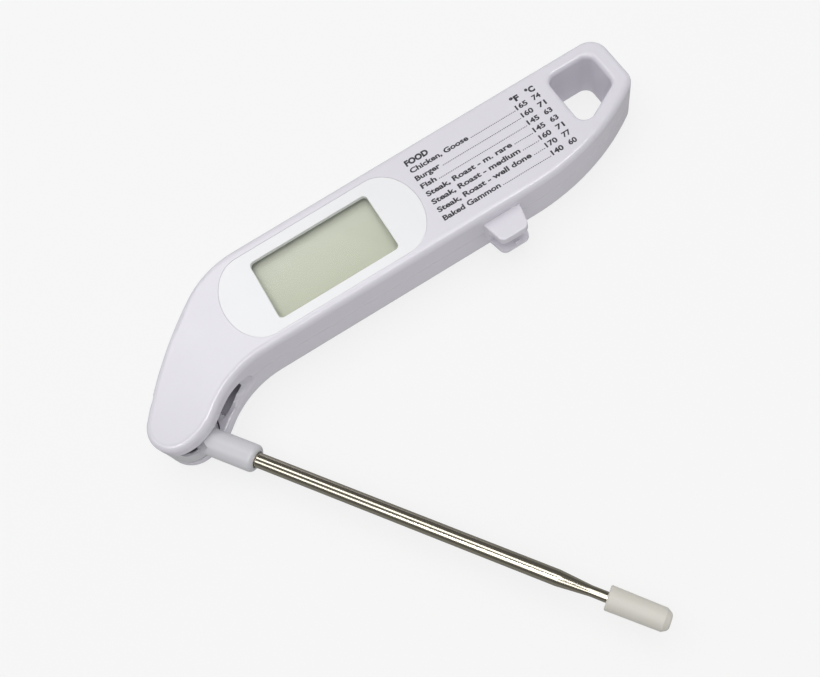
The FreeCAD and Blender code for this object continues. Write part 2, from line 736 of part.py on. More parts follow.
def display():
    x = value("window_x")
    y = value("window_y")
    low = value("board_low + board_thickness")
    plate = outline_face("bezel_outline", bezel_wire(0.0))
    window = outline_face("window_outline", soft_rectangle(
        x, y, value("window_length"), value("window_height"), 1.4))
    bezel = less("bezel_cut", extruded("bezel_plate", plate, "body_depth - bezel_thickness", "body_depth"),
                 [extruded("bezel_window", window, "body_depth - 2", "body_depth + 1")])
    node("display_bezel", rounded("bezel_soft", bezel, "bezel_rounding", at_height("body_depth")))

    half_length = "pane_length / 2"
    half_height = "pane_height / 2"
    top = "body_depth - wall"
    pane = box("pane", (f"window_x - {half_length}", f"window_y - {half_height}", f"{top} - pane_thickness"),
               (f"window_x + {half_length}", f"window_y + {half_height}", top))
    node("window_pane", pane)

    front_high = "body_depth - wall - pane_thickness - film_thickness - 0.03"
    front_low = f"{front_high} - glass_thickness"
    back_low = f"{front_low} - glass_thickness"
    left = f"window_x - {half_length} + 0.6"
    right = f"window_x + {half_length} - 0.6"
    near = f"window_y - {half_height} + 0.4"
    far = f"window_y + {half_height} - 0.4"
    upper = box("front_glass", (left, near, front_low), (right, far, front_high))
    lower = box("back_glass", (left, f"{near} + glass_ledge", back_low), (right, far, front_low))
    node("lcd_glass", fused("lcd_sheets", [upper, lower]))
    node("lcd_front_film", box("front_film", (f"{left} + 0.5", f"{near} + glass_ledge", front_high),
                               (f"{right} - 0.5", f"{far} - 0.5", f"{front_high} + film_thickness")))
    reflector = box("reflector",
                    (f"{left} + 0.5", f"{near} + glass_ledge + 0.3", f"{back_low} - film_thickness"),
                    (f"{right} - 0.5", f"{far} - 0.5", back_low))
    node("lcd_reflector", reflector)
    node("contact_strip", box("zebra", (f"{left} + 1.2", f"{near} + 0.3", low),
                              (f"{right} - 1.2", f"{near} + 2.0", front_low)))

    shelf = f"{back_low} - film_thickness - 0.03"
    frame = box("holder_block",
                (f"window_x - {half_length} - holder_wall", f"window_y - {half_height} - 0.9", low),
                (f"window_x + {half_length} + holder_wall", f"window_y + {half_height} + 0.9", top))
    pocket = box("holder_pocket",
                 (f"window_x - {half_length} - 0.1", f"window_y - {half_height} - 0.1", shelf),
                 (f"window_x + {half_length} + 0.1", f"window_y + {half_height} + 0.1", f"{top} + 1"))
    light = box("holder_window", (f"{left} + 2", f"{near} + glass_ledge + 2", f"{low} - 1"),
                (f"{right} - 2", f"{far} - 2", top))
    strip_slot = box("strip_slot", (f"{left} + 1.1", f"{near} + 0.2", f"{low} - 1"),
                     (f"{right} - 1.1", f"{near} + 2.1", top))
    node("lcd_holder", less("holder_cut", frame, [pocket, light, strip_slot]))


# ---------------------------------------------------------------- circuit board and what it carries

def board_box(name, x, y, length, width, height, above=False):
    """A box that stands on one side of the board."""
    if above:
        low, high = "board_low + board_thickness", f"board_low + board_thickness + {height}"
    else:
        low, high = f"board_low - {height}", "board_low"
    return box(name, (f"{x} - {length} / 2", f"{y} - {width} / 2", low),
               (f"{x} + {length} / 2", f"{y} + {width} / 2", high))


def circuit_board():
    outline = outline_face("board_outline", Part.makePolygon(
        [Vector(*corner, 0) for corner in BOARD_OUTLINE + BOARD_OUTLINE[:1]]))
    sheet_of_board = extruded("board_sheet", outline, "board_low", "board_low + board_thickness")
    reliefs = [cylinder(f"board_relief_{n}", "post_radius + 0.4", 0, "body_depth", *spot)
               for n, spot in enumerate(CASE_SCREWS[1:3])]
    holes = [cylinder(f"board_hole_{n}", BOARD_SCREW_RADIUS + 0.15, 0, "body_depth", *spot)
             for n, spot in enumerate(BOARD_SCREWS)]
    node("circuit_board", less("board_cut", sheet_of_board, reliefs + holes))

    ball = doc.addObject("Part::Sphere", "chip_ball")
    bind(ball, Radius=BLOB_BALL, x="window_x", y="window_y", z=f"board_low + {BLOB_BALL} - {BLOB_HEIGHT}")
    under = box("chip_zone", ("window_x - 10", "window_y - 10", "board_low - 5"),
                ("window_x + 10", "window_y + 10", "board_low"))
    blob = doc.addObject("Part::Common", "chip_dome")
    blob.Base = ball
    blob.Tool = under
    node("chip_blob", blob)

    group("board_parts", [board_box(f"board_part_{n}", *place) for n, place in enumerate(BOARD_PARTS)])


def reed_switch():
    """A glass capsule that lies across the board's tongue on its own two wires."""
    reach = REED_LENGTH / 2
    capsule = turned("reed_capsule", [(-reach, 0), (-reach, 0.6), (-reach + 0.8, REED_RADIUS),
                                      (reach - 0.8, REED_RADIUS), (reach, 0.6), (reach, 0)])
    low = value("board_low + board_thickness")
    level = low + REED_LIFT
    capsule.Placement = Placement(Vector(REED_X, REED_Y, level), Rotation(UP, 90))
    wires = []
    for n, side in enumerate((-1, 1)):
        tip = REED_Y + side * reach
        route = [(REED_X, tip - side * 0.5, level), (REED_X, tip + side, level), (REED_X, tip + side, low)]
        wires.append(lead(f"reed_wire_{n}", route, REED_WIRE_RADIUS, REED_WIRE_BEND))
    node("reed_switch", fused("reed_whole", [capsule] + wires))


def unit_switch():
    """The push switch under the board, its stem and the button that the stem carries."""
    half = 3.0
    housing = box("switch_block", (f"button_x - {half}", f"button_y - {half}", f"board_low - {SWITCH_HEIGHT}"),
                  (f"button_x + {half}", f"button_y + {half}", "board_low"))
    stem_bore = cylinder("switch_bore", f"{STEM_RADIUS} + button_gap", f"board_low - {SWITCH_HEIGHT} - 1",
                         f"board_low - {SWITCH_HEIGHT} + 1.9", "button_x", "button_y")
    node("tact_switch", less("switch_housing", housing, [stem_bore]))
    stem_low = f"board_low - {SWITCH_HEIGHT} - 1.0"
    stem = turned("stem", [(stem_low, 0), (stem_low, STEM_RADIUS), (f"{stem_low} + 2.2", STEM_RADIUS),
                           (f"{stem_low} + 2.2", 0)], "Z")
    bind(stem, x="button_x", y="button_y")
    node("switch_stem", stem)
    dome = "button_recess"
    button = turned("button", [(dome, 0), (dome, "button_radius - 0.4"), (f"{dome} + 0.4", "button_radius"),
                               ("wall + 0.15", "button_radius"), ("wall + 0.15", "button_radius + 0.7"),
                               ("wall + 0.95", "button_radius + 0.7"), ("wall + 0.95", "button_radius"),
                               (stem_low, "button_radius"), (stem_low, 0)], "Z")
    bind(button, x="button_x", y="button_y")
    node("unit_button", button)


# ---------------------------------------------------------------- battery

def coin_cell():
    low = "cell_low"
    high = "cell_low + cell_height"
    cell = turned("cell", [(low, 0), (low, "cell_radius - 1.4"), (f"{low} + 0.25", "cell_radius - 1.2"),
                           (f"{low} + 0.25", "cell_radius - 0.4"), (f"{low} + 0.65", "cell_radius"),
                           (high + " - 0.25", "cell_radius"), (high, "cell_radius - 0.25"), (high, 0)], "Z")
    bind(cell, x="bay_x", y="bay_y")
    node("coin_cell", cell)


def strip(label, profile, thickness, width):
    """A bent metal strip: its lower face's line in XZ about the bay's centre, made solid across Y."""
    x = value("bay_x")
    y = value("bay_y")
    lower = [Vector(x + dx, y - width / 2, height) for dx, height in profile]
    upper = []
    for n, spot in enumerate(lower):
        before = lower[max(n - 1, 0)]
        after = lower[min(n + 1, len(lower) - 1)]
        along = (after - before).normalize()
        upper.append(spot + Vector(-along.z, 0, along.x) * thickness)
    ring = lower + upper[::-1]
    thing = doc.addObject("Part::Feature", label + "_strip")
    thing.Shape = Part.Face(Part.makePolygon(ring + ring[:1])).extrude(Vector(0, width, 0))
    node(label, thing)


def contacts():
    board = value("board_low")
    top = value("cell_low + cell_height")
    rim = value("cell_radius") + 0.02
    strip("cell_contact_negative", [(-6.5, top + 0.6), (-4.5, top + 0.02), (-3.0, top + 0.02),
                                    (4.0, board - 0.22), (8.0, board - 0.22)], 0.2, 4.0)
    strip("cell_contact_positive", [(-rim - 0.25, top - 2.2), (-rim - 0.25, board - 0.45),
                                    (-rim - 0.6, board - 0.25), (-rim - 3.2, board - 0.25)], -0.22, 4.0)


def battery_door():
    """A coin-turned door: plate, boss and two lugs that pass under the cover's ledge."""
    low = "lug_low"
    shape = turned("door_turning", [
        (0.25, 0), (0.25, 9.6), (0, 9.85), (0, "door_radius - 0.25"), (0.25, "door_radius"),
        ("door_plate - 0.02", "door_radius"), ("door_plate - 0.02", "door_radius - 0.15"),
        ("door_plate - 0.62", "door_radius - 0.15"), ("door_plate - 0.62", "door_radius - 0.85"),
        ("door_plate - 0.02", "door_radius - 0.85"), ("door_plate - 0.02", "ledge_radius - 0.2"),
        ("lug_high", "ledge_radius - 0.2"), ("lug_high", 0)], "Z")
    lugs = []
    for n in range(2):
        lug = cylinder(f"door_lug_{n}", "door_radius - 0.25", low, "lug_high")
        lug.Placement.Rotation = Rotation(UP, 180 * n + 90 - LUG_SPAN / 2)
        lug.Angle = LUG_SPAN
        lugs.append(lug)
    solid = fused("door_solid", [shape] + lugs)
    coin_slot = box("coin_slot", (-8, -0.9, -1), (8, 0.9, 1.0))
    door = less("door_cut", solid, [coin_slot])
    bind(door, x="bay_x", y="bay_y")
    node("battery_door", door)
    ring = doc.addObject("Part::Torus", "door_ring")
    bind(ring, Radius1="door_radius - 0.5", Radius2=0.28, x="bay_x", y="bay_y", z="door_plate - 0.32")
    node("door_seal", ring)


# ---------------------------------------------------------------- fasteners and seals

def screw(name, spot, seat, head_radius, head_height, radius, length):
    """A pan-head screw that points up, with a cross recess in its head."""
    body = turned(name, [
        (f"{seat} - {head_height}", 0), (f"{seat} - {head_height}", f"{head_radius} - 0.45"),
        (f"{seat} - {head_height} + 0.45", head_radius), (seat, head_radius), (seat, radius),
        (f"{seat} + {length} - 0.8", radius), (f"{seat} + {length}", 0.15), (f"{seat} + {length}", 0)], "Z")
    bottom = f"{seat} - {head_height}"
    reach = f"({head_radius}) * 0.55"
    bars = [box(f"{name}_bar_{n}", (f"0 - {a}", f"0 - {b}", f"{bottom} - 1"), (a, b, f"{bottom} + 0.7"))
            for n, (a, b) in enumerate(((reach, "0.22"), ("0.22", reach)))]
    whole = less(name + "_cut", body, bars)
    return bind(whole, x=spot[0], y=spot[1])


def screws():
    group("case_screws", [screw(f"case_screw_{n}", spot, "screw_seat", "screw_head_radius",
                                "screw_head_height", "screw_radius", SCREW_LENGTH)
                          for n, spot in enumerate(CASE_SCREWS)])
    group("board_screws", [screw(f"board_screw_{n}", spot, "board_low", BOARD_SCREW_HEAD,
                                 BOARD_SCREW_HEAD_HEIGHT, BOARD_SCREW_RADIUS, BOARD_SCREW_LENGTH)
                           for n, spot in enumerate(BOARD_SCREWS)])


def pivot_seals():
    rings = []
    levels = ("seam_height + slot_half + seal_bore_depth / 2",
              "seam_height - slot_half - knuckle_pocket_extra - seal_bore_depth / 2")
    for n, level in enumerate(levels):
        ring = doc.addObject("Part::Torus", f"pivot_seal_{n}")
        bind(ring, Radius1="(trunnion_radius + seal_bore_radius) / 2", Radius2="seal_section", z=level)
        rings.append(ring)
    group("pivot_seals", rings)


# ---------------------------------------------------------------- probe, drawn along +X and turned to rest

def at_rest(thing):
    """Turn a piece of the probe about the pivot to where it rests."""
    bind(thing, **{"Placement.Rotation.Angle": "rest_angle"})
    return thing


def raised(body):
    """Lift a piece that is turned about X to the probe's axis."""
    return bind(body, z="seam_height")


def probe_hub():
    knuckle = cylinder("knuckle", "knuckle_radius", "knuckle_low", "knuckle_high")
    soft = rounded("knuckle_soft", knuckle, KNUCKLE_ROUNDING,
                   lambda edge: edge.Curve.TypeId == "Part::GeomCircle" and edge.Length > 20)
    barrel = raised(turned("barrel", [(0, 0), (0, "barrel_radius"), ("barrel_length", "barrel_radius"),
                                      ("barrel_length", 0)]))
    soft_barrel = rounded("barrel_soft", barrel, "barrel_rounding",
                          lambda edge: abs(edge.CenterOfMass.x - value("barrel_length")) < 0.01)
    trunnions = cylinder("trunnions", "trunnion_radius", TRUNNION_FOOT,
                         f"body_depth - wall - {TRUNNION_TOP_GAP}")
    whole = fused("hub_whole", [soft, soft_barrel, trunnions])
    lip = f"barrel_length - {BARREL_LIP}"
    lip_radius = f"tube_radius + {BARREL_LIP_WIDTH}"
    socket = raised(turned("tube_socket", [
        ("tube_start", 0), ("tube_start", "tube_radius"), (lip, "tube_radius"), (lip, lip_radius),
        ("barrel_length + 1", lip_radius), ("barrel_length + 1", 0)]))
    lead_bore = raised(turned("lead_bore", [(-1.2, 0), (-1.2, LEAD_BORE), ("tube_start + 1", LEAD_BORE),
                                            ("tube_start + 1", 0)]))
    shaft_bore = cylinder("shaft_bore", SHAFT_BORE, "seam_height - 1", "body_depth")
    turn = math.radians(MAGNET_ANGLE)
    pocket = cylinder("magnet_pocket", MAGNET_RADIUS + 0.05,
                      f"knuckle_high - {MAGNET_DEPTH}", "knuckle_high + 1",
                      MAGNET_REACH * math.cos(turn), MAGNET_REACH * math.sin(turn))
    core_outer = cylinder("core_outer", "knuckle_radius - drum_wall", f"knuckle_low + {CORE_FLOOR}",
                          "knuckle_high + 1")
    core_inner = cylinder("core_inner", "trunnion_radius + bearing_wall", "knuckle_low", "knuckle_high + 2")
    core = less("core_ring", core_outer, [core_inner])
    core_arc = shared("drum_core", [core, sector("core_sector", CORE_START, CORE_SPAN)])
    relief_turn = math.radians(RELIEF_ANGLE)
    relief_start = value("knuckle_radius - drum_wall") - RELIEF_SINK
    relief = doc.addObject("Part::Cylinder", "drum_relief")
    relief.Placement = Placement(
        Vector(relief_start * math.cos(relief_turn), relief_start * math.sin(relief_turn), 0),
        Rotation(UP, RELIEF_ANGLE) * Rotation(Vector(0, 1, 0), 90))
    bind(relief, Radius="relief_radius", Height="drum_wall + 2", z="relief_radius + relief_low")
    hub = less("hub_cut", whole, [socket, lead_bore, shaft_bore, pocket, core_arc, relief])
    node("probe_hub", at_rest(hub))
    rest_turn = turn + math.radians(value("rest_angle"))
    magnet_spot = (MAGNET_REACH * math.cos(rest_turn), MAGNET_REACH * math.sin(rest_turn))
    node("hub_magnet", cylinder("magnet_disc", MAGNET_RADIUS, f"knuckle_high - {MAGNET_DEPTH}",
                                "knuckle_high - 0.2", *magnet_spot))


def probe_tube():
    """A drawn steel tube: full size, then a taper to a slim closed tip."""
    inner = "tube_radius - tube_wall"
    slim = "tip_radius - tube_wall"
    tube = raised(turned("tube", [
        ("tube_start", inner), ("tube_start", "tube_radius"), ("taper_start", "tube_radius"),
        ("taper_end", "tip_radius"), ("tip_end - 1.2", "tip_radius"), ("tip_end - 0.35", "tip_radius * 0.72"),
        ("tip_end", "tip_radius * 0.3"), ("tip_end", 0), ("tip_end - 0.6", 0),
        ("tip_end - 1.2", slim), ("taper_end", slim), ("taper_start", inner)]))
    node("probe_tube", at_rest(tube))

    bead = turned("sensor_bead", [
        ("tip_end - 3.8", 0), ("tip_end - 3.8", 0.35), ("tip_end - 3.2", 0.4), ("tip_end - 2.9", 0.7),
        ("tip_end - 2.6", BEAD_RADIUS), ("tip_end - 2.2", BEAD_RADIUS), ("tip_end - 1.9", 0.6),
        ("tip_end - 1.7", 0.3), ("tip_end - 1.7", 0)])
    node("temperature_sensor", at_rest(raised(bead)))

    height = value("seam_height")
    far = value("tip_end") - 3.85
    top = value(f"body_depth - wall - {TRUNNION_TOP_GAP}")
    wires = [lead(f"probe_lead_{n}", [(far, side, height), (0, side, height), (0, side, top)],
                  LEAD_RADIUS, 1.0) for n, side in enumerate((-LEAD_OFFSET, LEAD_OFFSET))]
    bundle = doc.addObject("Part::Compound", "probe_lead_pair")
    bundle.Links = wires
    node("probe_leads", at_rest(bundle))


def tip_cap():
    bore = "tip_radius + cap_bore_gap"
    cap = raised(turned("cap", [
        ("cap_start", f"{bore} + 0.5"), ("cap_start", "cap_mouth_radius - 0.25"),
        ("cap_start + 0.25", "cap_mouth_radius"), ("cap_end - 1.5", "cap_nose_radius"),
        ("cap_end - 0.35", "cap_nose_radius - 0.7"), ("cap_end", "cap_nose_radius - 1.3"),
        ("cap_end", 0), ("tip_end + 0.2", 0), ("tip_end + 0.2", bore),
        ("cap_start + 0.5", bore)]))
    node("tip_cap", at_rest(cap))


def handle_leads():
    """Two insulated wires from above the knuckle to the board's tongue."""
    turn = math.radians(LEAD_ANGLE)
    ahead = Vector(math.cos(turn), math.sin(turn), 0)
    side = Vector(-ahead.y, ahead.x, 0)
    start = value(f"body_depth - wall - {TRUNNION_TOP_GAP}") + 0.05
    run = value("body_depth - wall") - LEAD_DROP
    landing = value("board_low + board_thickness")
    wires = []
    for n, offset in enumerate((-LEAD_OFFSET, LEAD_OFFSET)):
        base = side * offset
        end = base + ahead * LEAD_REACH
        route = [(base.x, base.y, start), (base.x, base.y, run), (end.x, end.y, run), (end.x, end.y, landing)]
        wires.append(lead(f"handle_lead_{n}", route, LEAD_RADIUS, HANDLE_LEAD_BEND))
    group("handle_leads", wires)


def check_and_write():
    """Refuse a failed or invalid object, then write one STEP file for each node."""
    doc.recompute()
    failed = [thing.Name for thing in doc.Objects if "Invalid" in thing.State or "Error" in thing.State]
    if failed:
        raise RuntimeError(f"objects that failed: {failed}")
    os.makedirs("parts", exist_ok=True)
    for label, thing in sorted(nodes.items()):
        shape = thing.Shape
        if shape.isNull() or not shape.isValid():
            raise RuntimeError(f"{label} has no valid shape")
        box_size = shape.BoundBox
        print(f"{label:24s} {len(shape.Solids):2d} solids {shape.Volume:9.2f} mm3"
              f"  x {box_size.XMin:7.2f} {box_size.XMax:7.2f}  y {box_size.YMin:7.2f} {box_size.YMax:7.2f}"
              f"  z {box_size.ZMin:6.2f} {box_size.ZMax:6.2f}")
        shape.exportStep(os.path.join("parts", label + ".step"))


front_cover()
back_cover()
display()
circuit_board()
reed_switch()
unit_switch()
coin_cell()
contacts()
battery_door()
screws()
pivot_seals()
probe_hub()
probe_tube()
tip_cap()
handle_leads()
check_and_write()
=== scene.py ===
"""The look of a folding meat thermometer: its finishes, its printed chart, and a plain pale studio."""
import json
import math

import bmesh
import bpy
from mathutils import Matrix, Vector

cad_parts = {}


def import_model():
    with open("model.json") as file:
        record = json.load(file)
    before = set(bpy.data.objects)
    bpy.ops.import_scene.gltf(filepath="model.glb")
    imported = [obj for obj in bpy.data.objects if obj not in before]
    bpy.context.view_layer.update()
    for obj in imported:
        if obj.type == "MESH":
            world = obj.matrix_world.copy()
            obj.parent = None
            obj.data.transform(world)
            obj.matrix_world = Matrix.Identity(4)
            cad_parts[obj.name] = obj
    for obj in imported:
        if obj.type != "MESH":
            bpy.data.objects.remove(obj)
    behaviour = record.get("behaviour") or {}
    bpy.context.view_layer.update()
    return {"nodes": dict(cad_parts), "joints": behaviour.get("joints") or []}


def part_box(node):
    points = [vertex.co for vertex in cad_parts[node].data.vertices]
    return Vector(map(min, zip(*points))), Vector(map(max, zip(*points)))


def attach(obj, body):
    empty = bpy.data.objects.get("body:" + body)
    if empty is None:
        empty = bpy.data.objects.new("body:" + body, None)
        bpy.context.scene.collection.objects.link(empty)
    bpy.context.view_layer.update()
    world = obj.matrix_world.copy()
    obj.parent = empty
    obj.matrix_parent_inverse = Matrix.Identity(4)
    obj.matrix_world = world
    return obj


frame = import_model()
NODES = frame["nodes"]
JOINTS = {joint["name"]: joint for joint in frame["joints"]}
MM = 0.001


# ---------------------------------------------------------------- places read from the frame

COVER_LOW, COVER_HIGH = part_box("front_cover")
FACE_LEVEL = COVER_HIGH.z
BEZEL_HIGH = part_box("display_bezel")[1]
PANE_LOW, PANE_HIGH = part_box("window_pane")
PIVOT = Vector(JOINTS["probe_fold"]["pos_m"])
PROBE_WAY = Vector(JOINTS["cap_pull"]["axis"]).normalized()
PROBE_TURN = math.atan2(PROBE_WAY.y, PROBE_WAY.x)


# ---------------------------------------------------------------- shader building

class Shader:
    """A material under construction: one Principled surface and short calls for the nodes before it."""

    def __init__(self, name):
        self.material = bpy.data.materials.new(name)
        self.material.use_nodes = True
        self.tree = self.material.node_tree
        self.surface = self.tree.nodes["Principled BSDF"]

    def node(self, kind, **settings):
        made = self.tree.nodes.new(kind)
        for key, setting in settings.items():
            setattr(made, key, setting)
        return made

    def link(self, source, target):
        self.tree.links.new(source, target)

    def feed(self, name, source):
        self.link(source, self.surface.inputs[name])

    def set(self, **values):
        for name, number in values.items():
            self.surface.inputs[name.replace("_", " ")].default_value = number

    def place(self, turn=0.0, scale=(1.0, 1.0, 1.0)):
        """Object coordinates in metres, stretched and then turned about Z."""
        coordinates = self.node("ShaderNodeTexCoord")
        mapping = self.node("ShaderNodeMapping")
        mapping.inputs["Rotation"].default_value = (0.0, 0.0, turn)
        mapping.inputs["Scale"].default_value = scale
        self.link(coordinates.outputs["Object"], mapping.inputs["Vector"])
        return mapping.outputs["Vector"]

    def group(self, tree, vector, **values):
        made = self.node("ShaderNodeGroup")
        made.node_tree = tree
        self.link(vector, made.inputs["Vector"])
        for name, number in values.items():
            made.inputs[name.replace("_", " ")].default_value = number
        return made

    def skin(self, tree, vector, **values):
        """Colour and gloss from a group; the group comes back, for its height."""
        made = self.group(tree, vector, **values)
        self.feed("Base Color", made.outputs["Color"])
        self.feed("Roughness", made.outputs["Roughness"])
        return made

    def bump(self, height, strength, distance):
        made = self.node("ShaderNodeBump")
        made.inputs["Strength"].default_value = strength
        made.inputs["Distance"].default_value = distance
        self.link(height, made.inputs["Height"])
        self.feed("Normal", made.outputs["Normal"])


def group_tree(name, inputs, outputs):
    """An empty node group with its sockets; each entry is (name, kind, default)."""
    tree = bpy.data.node_groups.new(name, "ShaderNodeTree")
    for label, kind, default in inputs:
        socket = tree.interface.new_socket(label, in_out="INPUT", socket_type=kind)
        if default is not None:
            socket.default_value = default
    for label, kind in outputs:
        tree.interface.new_socket(label, in_out="OUTPUT", socket_type=kind)
    return tree, tree.nodes.new("NodeGroupInput"), tree.nodes.new("NodeGroupOutput")


def noise(tree, vector, scale, detail, roughness):
    made = tree.nodes.new("ShaderNodeTexNoise")
    made.inputs["Detail"].default_value = detail
    made.inputs["Roughness"].default_value = roughness
    tree.links.new(vector, made.inputs["Vector"])
    if isinstance(scale, (int, float)):
        made.inputs["Scale"].default_value = scale
    else:
        tree.links.new(scale, made.inputs["Scale"])
    return made.outputs["Fac"]


def math_node(tree, operation, first, second):
    made = tree.nodes.new("ShaderNodeMath")
    made.operation = operation
    for slot, source in enumerate((first, second)):
        if isinstance(source, (int, float)):
            made.inputs[slot].default_value = source
        else:
            tree.links.new(source, made.inputs[slot])
    return made.outputs[0]


def blend_colour(tree, factor, first, second):
    made = tree.nodes.new("ShaderNodeMix")
    made.data_type = "RGBA"
    tree.links.new(factor, made.inputs["Factor"])
    for slot, source in (("A", first), ("B", second)):
        target = next(s for s in made.inputs if s.name == slot and s.type == "RGBA")
        if isinstance(source, tuple):
            target.default_value = source
        else:
            tree.links.new(source, target)
    return next(s for s in made.outputs if s.type == "RGBA")


SKIN_OUTPUTS = [
    ("Color", "NodeSocketColor"),
    ("Roughness", "NodeSocketFloat"),
    ("Height", "NodeSocketFloat"),
]
CLOUD_SCALE = 60.0
GRAIN_HEIGHT = 0.02 * MM
STREAK_HEIGHT = 0.01 * MM


def uneven_gloss(tree, given, made, mask, middle):
    """Let a group's roughness swing about its gloss as a mask swings about its middle."""
    offset = math_node(tree, "SUBTRACT", mask, middle)
    swing = math_node(tree, "MULTIPLY", offset, given.outputs["Gloss Spread"])
    tree.links.new(math_node(tree, "ADD", given.outputs["Gloss"], swing), made.inputs["Roughness"])


def moulded_skin_group():
    """Moulded plastic: a faint mottled tone, uneven gloss and a fine spark-eroded grain."""
    tree, given, made = group_tree(
        "moulded_skin",
        [("Vector", "NodeSocketVector", None), ("Tint", "NodeSocketColor", (0.8, 0.8, 0.8, 1.0)),
         ("Shade", "NodeSocketColor", (0.7, 0.7, 0.7, 1.0)), ("Mottle Scale", "NodeSocketFloat", 90.0),
         ("Grain Scale", "NodeSocketFloat", 5000.0), ("Gloss", "NodeSocketFloat", 0.35),
         ("Gloss Spread", "NodeSocketFloat", 0.08)],
        SKIN_OUTPUTS)
    vector = given.outputs["Vector"]
    mottle = noise(tree, vector, given.outputs["Mottle Scale"], 3.0, 0.55)
    grain = noise(tree, vector, given.outputs["Grain Scale"], 2.0, 0.6)
    tone = blend_colour(tree, mottle, given.outputs["Tint"], given.outputs["Shade"])
    tree.links.new(tone, made.inputs["Color"])
    uneven_gloss(tree, given, made, mottle, 0.5)
    tree.links.new(grain, made.inputs["Height"])
    return tree


def drawn_metal_group():
    """Drawn or rolled metal: streaks in tone and gloss, as long as the vector's stretch makes them."""
    tree, given, made = group_tree(
        "drawn_metal",
        [("Vector", "NodeSocketVector", None), ("Tint", "NodeSocketColor", (0.7, 0.7, 0.7, 1.0)),
         ("Shade", "NodeSocketColor", (0.5, 0.5, 0.5, 1.0)), ("Streak Scale", "NodeSocketFloat", 900.0),
         ("Gloss", "NodeSocketFloat", 0.15), ("Gloss Spread", "NodeSocketFloat", 0.1)],
        SKIN_OUTPUTS)
    vector = given.outputs["Vector"]
    streak = noise(tree, vector, given.outputs["Streak Scale"], 4.0, 0.65)
    cloud = noise(tree, vector, CLOUD_SCALE, 2.0, 0.5)
    tone = blend_colour(tree, streak, given.outputs["Tint"], given.outputs["Shade"])
    tree.links.new(tone, made.inputs["Color"])
    uneven_gloss(tree, given, made, math_node(tree, "ADD", streak, cloud), 1.0)
    tree.links.new(streak, made.inputs["Height"])
    return tree


MOULDED_SKIN = moulded_skin_group()
DRAWN_METAL = drawn_metal_group()


def colour(red, green, blue):
    return (red, green, blue, 1.0)


def moulded(name, tint, shade, gloss, grain=0.1, mottle=90.0):
    """A moulded plastic finish; grain is how strongly its texture stands out."""
    shader = Shader(name)
    skin = shader.skin(MOULDED_SKIN, shader.place(), Tint=tint, Shade=shade, Gloss=gloss,
                       Mottle_Scale=mottle)
    shader.bump(skin.outputs["Height"], grain, GRAIN_HEIGHT)
    return shader.material


def metal(name, tint, shade, gloss, spread=0.1, turn=0.0, stretch=(0.02, 1.0, 1.0), scale=900.0,
          relief=0.1):
    """A metal finish with streaks along X; turn follows the stretch, so it only moves their pattern."""
    shader = Shader(name)
    skin = shader.skin(DRAWN_METAL, shader.place(turn, stretch), Tint=tint, Shade=shade, Gloss=gloss,
                       Gloss_Spread=spread, Streak_Scale=scale)
    shader.bump(skin.outputs["Height"], relief, STREAK_HEIGHT)
    shader.set(Metallic=1.0)
    return shader.material


# ---------------------------------------------------------------- finishes

FILM_CLOUD_SCALE = 300.0
FILM_GLOSS = (0.3, 0.42)
LAYER_SCALE = 900.0
TRACK_SCALE = 90.0
TRACK_WIDTH = 0.03
TRACK_HEIGHT = 0.03 * MM


def clear_plastic():
    """Clear acrylic: nearly all see-through, with a gloss that wavers a little."""
    shader = Shader("clear_pane")
    shader.skin(MOULDED_SKIN, shader.place(), Tint=colour(0.96, 0.98, 0.96),
                Shade=colour(0.92, 0.95, 0.92), Gloss=0.04, Gloss_Spread=0.03)
    shader.set(IOR=1.45, Alpha=0.12)
    return shader.material


def lcd_film():
    """The unlit display: grey-green, more olive towards its lower edge."""
    shader = Shader("lcd_film_grey_green")
    coordinates = shader.node("ShaderNodeTexCoord")
    parts = shader.node("ShaderNodeSeparateXYZ")
    shader.link(coordinates.outputs["Object"], parts.inputs["Vector"])
    rise = shader.node("ShaderNodeMapRange")
    rise.inputs["From Min"].default_value = PANE_LOW.y
    rise.inputs["From Max"].default_value = PANE_HIGH.y
    shader.link(parts.outputs["Y"], rise.inputs["Value"])
    olive = colour(0.45, 0.48, 0.31)
    grey_green = colour(0.57, 0.60, 0.47)
    shader.feed("Base Color", blend_colour(shader.tree, rise.outputs["Result"], olive, grey_green))
    cloud = noise(shader.tree, coordinates.outputs["Object"], FILM_CLOUD_SCALE, 3.0, 0.5)
    spread = shader.node("ShaderNodeMapRange")
    spread.inputs["To Min"].default_value, spread.inputs["To Max"].default_value = FILM_GLOSS
    shader.link(cloud, spread.inputs["Value"])
    shader.feed("Roughness", spread.outputs["Result"])
    return shader.material


def reed_glass():
    """The reed switch's sealed capsule, greenish and faintly wavy."""
    shader = Shader("reed_capsule_glass")
    shader.skin(MOULDED_SKIN, shader.place(), Tint=colour(0.62, 0.74, 0.66),
                Shade=colour(0.54, 0.68, 0.6), Gloss=0.06, Gloss_Spread=0.04)
    shader.set(Alpha=0.45)
    return shader.material


def striped_elastomer():
    """The display's contact strip: pink silicone with fine black conducting layers across its length."""
    shader = Shader("striped_elastomer")
    bands = shader.node("ShaderNodeTexWave", bands_direction="X")
    bands.inputs["Scale"].default_value = LAYER_SCALE
    shader.link(shader.place(), bands.inputs["Vector"])
    silicone = colour(0.78, 0.44, 0.52)
    carbon = colour(0.05, 0.045, 0.05)
    shader.feed("Base Color", blend_colour(shader.tree, bands.outputs["Fac"], silicone, carbon))
    shader.bump(bands.outputs["Fac"], 0.2, GRAIN_HEIGHT)
    shader.set(Roughness=0.7)
    return shader.material


